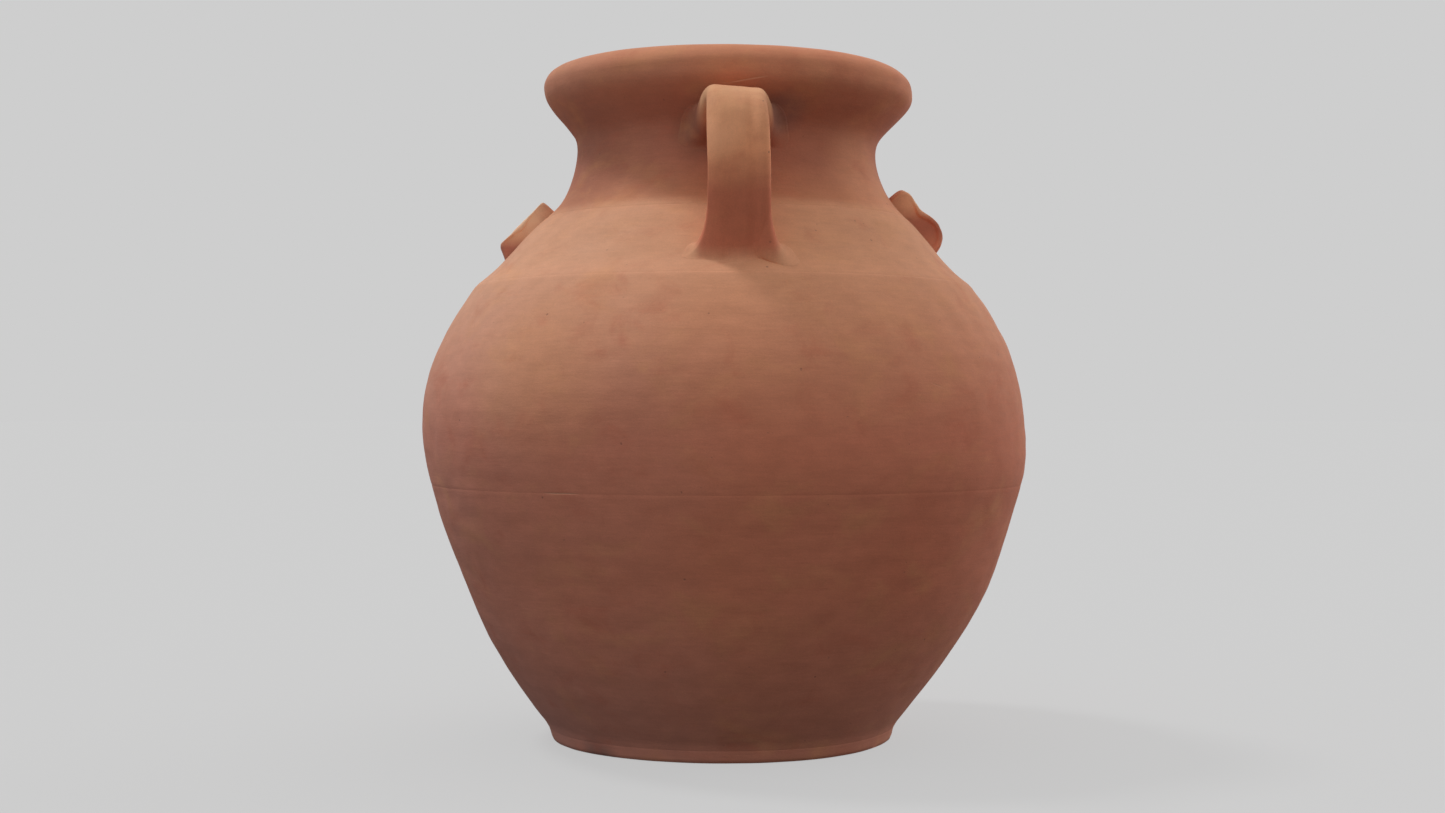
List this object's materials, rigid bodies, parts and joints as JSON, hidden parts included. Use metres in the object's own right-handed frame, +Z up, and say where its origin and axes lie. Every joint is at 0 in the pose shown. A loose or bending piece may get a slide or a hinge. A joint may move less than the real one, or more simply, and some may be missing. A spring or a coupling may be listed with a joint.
{
  "type": "amphora",
  "caption": "Wide-mouthed round-bellied terracotta jar with a thick everted lip, a strap handle front and back, and applied shoulder ornaments.",
  "frame": {"origin": "centre of the foot's underside, on the surface the jar stands on", "axes": "+Z up along the jar's axis of turning, -Y towards the front handle, -X towards the tablet and +X towards the lug"},
  "size_m": [0.404, 0.404, 0.45],
  "materials": {
    "foot_clay": "unglazed fired terracotta, dark and smoothed",
    "wall_clay": "unglazed fired terracotta, matt, with fine turning lines",
    "neck_clay": "unglazed fired terracotta, matt, with fine turning lines",
    "handle_clay": "unglazed fired terracotta, matt, wiped lengthwise",
    "ornament_clay": "unglazed fired terracotta, matt, finger-pressed"
  },
  "bodies": {
    "root": {"foot_slab": "foot_clay", "lower_wall": "wall_clay", "belly_wall": "wall_clay", "shoulder_wall": "wall_clay", "neck_collar": "neck_clay", "rim_lip": "neck_clay", "front_handle": "handle_clay", "front_handle_upper_coil": "handle_clay", "front_handle_lower_coil": "handle_clay", "back_handle": "handle_clay", "back_handle_upper_coil": "handle_clay", "back_handle_lower_coil": "handle_clay", "left_tablet": "ornament_clay", "right_lug": "ornament_clay"}
  },
  "joints": []
}
